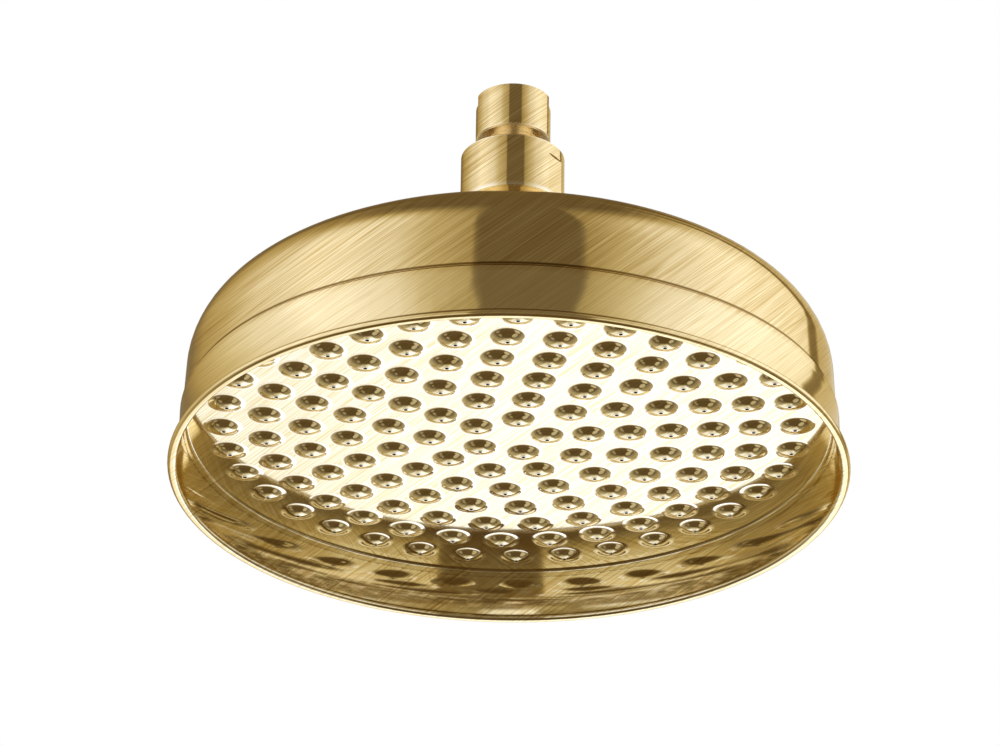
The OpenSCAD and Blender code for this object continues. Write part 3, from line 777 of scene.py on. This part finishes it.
def thread_tree():
    tree = bpy.data.node_groups.new("thread_ridge", "GeometryNodeTree")
    tree.is_modifier = True
    for name, kind in (("Points", "NodeSocketGeometry"), ("Wall Radius", "NodeSocketFloat"),
                       ("Pitch", "NodeSocketFloat"), ("Turns", "NodeSocketFloat"),
                       ("Depth", "NodeSocketFloat"), ("Start Height", "NodeSocketVector"),
                       ("Finish", "NodeSocketMaterial")):
        tree.interface.new_socket(name, in_out="INPUT", socket_type=kind)
    tree.interface.new_socket("Ridge", in_out="OUTPUT", socket_type="NodeSocketGeometry")
    given = add_node(tree, "NodeGroupInput").outputs
    rise = add_node(tree, "ShaderNodeMath", {"operation": "MULTIPLY"}, {0: given["Pitch"], 1: given["Turns"]})
    spiral = add_node(tree, "GeometryNodeCurveSpiral", inputs={
        "Resolution": 48, "Rotations": given["Turns"], "Start Radius": given["Wall Radius"],
        "End Radius": given["Wall Radius"], "Height": rise.outputs["Value"], "Reverse": True})
    level = add_node(tree, "GeometryNodeSetCurveNormal", {"mode": "Z_UP"}, {"Curve": spiral.outputs["Curve"]})
    inwards = add_node(tree, "ShaderNodeMath", {"operation": "MULTIPLY"}, {
        0: given["Depth"], 1: -1.0}).outputs["Value"]
    tip = add_node(tree, "ShaderNodeCombineXYZ", inputs={"X": inwards, "Y": RIDGE_TOP / 2})
    other_tip = add_node(tree, "ShaderNodeCombineXYZ", inputs={"X": inwards, "Y": -RIDGE_TOP / 2})
    section = add_node(tree, "GeometryNodeCurvePrimitiveQuadrilateral", {"mode": "POINTS"}, {
        "Point 1": (SUNK / 4, -RIDGE_FOOT / 2, 0), "Point 2": (SUNK / 4, RIDGE_FOOT / 2, 0),
        "Point 3": tip.outputs["Vector"], "Point 4": other_tip.outputs["Vector"]})
    along = add_node(tree, "GeometryNodeSplineParameter").outputs["Factor"]
    start = add_node(tree, "ShaderNodeMapRange", inputs={
        "Value": along, "From Max": RUN_OUT, "To Min": 0.05}).outputs["Result"]
    end = add_node(tree, "ShaderNodeMapRange", inputs={
        "Value": along, "From Min": 1.0, "From Max": 1 - RUN_OUT, "To Min": 0.05}).outputs["Result"]
    size = add_node(tree, "ShaderNodeMath", {"operation": "MINIMUM"}, {0: start, 1: end})
    ridge = add_node(tree, "GeometryNodeCurveToMesh", inputs={
        "Curve": level.outputs["Curve"], "Profile Curve": section.outputs["Curve"],
        "Scale": size.outputs["Value"], "Fill Caps": True})
    lifted = add_node(tree, "GeometryNodeTransform", inputs={
        "Geometry": ridge.outputs["Mesh"], "Translation": given["Start Height"]})
    real = add_node(tree, "GeometryNodeRealizeInstances", inputs={"Geometry": lifted.outputs["Geometry"]})
    finished = add_node(tree, "GeometryNodeSetMaterial", inputs={
        "Geometry": real.outputs["Geometry"], "Material": given["Finish"]})
    add_node(tree, "NodeGroupOutput", inputs={"Ridge": finished.outputs["Geometry"]})
    return tree


inlet_thread = baked("inlet_thread", [(0, 0, 0)], thread_tree(), {
    "Wall Radius": THREAD_R, "Pitch": THREAD_PITCH, "Turns": THREAD_TURNS, "Depth": THREAD_DEPTH,
    "Start Height": (0, 0, THREAD_LOW), "Finish": brass})
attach(inlet_thread, "inlet")
print("volume of the ridge:", round(1e9 * volume(inlet_thread), 1), "mm3, height",
      [round(1000 * f(v.co.z for v in inlet_thread.data.vertices), 2) for f in (min, max)], "mm, radius",
      [round(1000 * f(v.co.xy.length for v in inlet_thread.data.vertices), 2) for f in (min, max)], "mm")

# %% [markdown]
# ## Plastic, rubber, steel and fibre
#
# Inside are five other materials. They hardly show in the assembled head, but the swivel and the
# inlet are looked into, and each piece is kept by itself as well. Each finish is a short recipe of
# its own: a base colour that varies a little, a roughness, and the mark of how it was made.

# %% Five more materials
def add_tint(tree, shader, factor, dark, light):
    """Mixes two hex colours into the base colour."""
    tint = add_node(tree, "ShaderNodeMix", {"data_type": "RGBA"}, {
        "Factor": factor, 6: linear(dark), 7: linear(light)})
    tree.links.new(tint.outputs[2], shader.inputs["Base Color"])


def add_bump(tree, shader, height, distance):
    bump = add_node(tree, "ShaderNodeBump", inputs={"Height": height, "Distance": distance})
    tree.links.new(bump.outputs["Normal"], shader.inputs["Normal"])


def turned_nylon():
    """Natural nylon turned on a lathe: off-white, waxy, with fine rings 0.25 mm apart."""
    material, tree, shader = new_material("turned_nylon")
    place = add_node(tree, "ShaderNodeTexCoord").outputs["Object"]
    marks = add_node(tree, "ShaderNodeMath", {"operation": "SINE"}, {0: add_node(
        tree, "ShaderNodeMath", {"operation": "MULTIPLY"}, {
            0: add_radius(tree, place), 1: 2 * math.pi / (0.25 * MM)}).outputs["Value"]})
    clouds = add_node(tree, "ShaderNodeTexNoise", inputs={"Vector": place, "Scale": 1 / (4 * MM)})
    add_tint(tree, shader, clouds.outputs["Fac"], "#dcd7c7", "#ece8dc")
    add_bump(tree, shader, marks.outputs["Value"], 0.004 * MM)
    shader.inputs["Roughness"].default_value = 0.38
    shader.inputs["IOR"].default_value = 1.53
    return material


def moulded_rubber():
    """Black nitrile rubber, moulded: matt, with the fine grain of a blasted mould."""
    material, tree, shader = new_material("moulded_rubber")
    place = add_node(tree, "ShaderNodeTexCoord").outputs["Object"]
    grain = add_node(tree, "ShaderNodeTexNoise", inputs={"Vector": place, "Scale": 1 / (0.3 * MM), "Detail": 3.0})
    add_tint(tree, shader, grain.outputs["Fac"], "#161616", "#2a2a29")
    add_bump(tree, shader, grain.outputs["Fac"], 0.02 * MM)
    shader.inputs["Roughness"].default_value = 0.6
    return material


def rolled_steel():
    """Stainless steel sheet with etched openings: grey, with the rolling grain along X."""
    material, tree, shader = new_material("rolled_steel")
    place = add_node(tree, "ShaderNodeTexCoord").outputs["Object"]
    drawn = add_node(tree, "ShaderNodeMapping", {"vector_type": "TEXTURE"}, {
        "Vector": place, "Scale": (12 * MM, 0.15 * MM, 1 * MM)})
    grain = add_node(tree, "ShaderNodeTexNoise", inputs={"Vector": drawn.outputs["Vector"], "Scale": 1.0})
    add_tint(tree, shader, grain.outputs["Fac"], "#a9abad", "#d3d4d5")
    shader.inputs["Metallic"].default_value = 1.0
    shader.inputs["Roughness"].default_value = 0.28
    return material


def red_fibre():
    """Vulcanised fibre, pressed from cotton paper: dark red and matt, with fibres 2 mm long."""
    material, tree, shader = new_material("red_fibre")
    place = add_node(tree, "ShaderNodeTexCoord").outputs["Object"]
    drawn = add_node(tree, "ShaderNodeMapping", {"vector_type": "TEXTURE"}, {
        "Vector": place, "Scale": (2 * MM, 0.2 * MM, 0.2 * MM)})
    fibres = add_node(tree, "ShaderNodeTexNoise", inputs={
        "Vector": drawn.outputs["Vector"], "Scale": 1.0, "Detail": 3.0})
    add_tint(tree, shader, fibres.outputs["Fac"], "#5d2318", "#85402c")
    add_bump(tree, shader, fibres.outputs["Fac"], 0.02 * MM)
    shader.inputs["Roughness"].default_value = 0.7
    return material


def moulded_acetal():
    """Acetal, injection moulded: blue, smooth and slightly waxy, with faint flow clouds."""
    material, tree, shader = new_material("moulded_acetal")
    place = add_node(tree, "ShaderNodeTexCoord").outputs["Object"]
    flow = add_node(tree, "ShaderNodeTexNoise", inputs={"Vector": place, "Scale": 1 / (3 * MM), "Detail": 2.0})
    add_tint(tree, shader, flow.outputs["Fac"], "#2a5a98", "#3a6fb3")
    shader.inputs["Roughness"].default_value = 0.32
    shader.inputs["IOR"].default_value = 1.48
    return material


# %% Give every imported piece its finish
def finish_nodes(material, names):
    for name in names:
        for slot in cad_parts[name].material_slots:
            slot.material = material
    print(material.name, "on", ", ".join(names))


finish_nodes(brass, ["bell_shell", "spray_plate", "neck_boss", "lock_nut", "swivel_collar",
                     "inlet_ball_stem"])
finish_nodes(turned_nylon(), ["upper_ball_seat"])
finish_nodes(moulded_rubber(), ["lower_ball_seal", "inlet_washer", "regulator_o_ring"])
finish_nodes(rolled_steel(), ["strainer_disc"])
finish_nodes(red_fibre(), ["crown_washer"])
finish_nodes(moulded_acetal(), ["flow_regulator"])
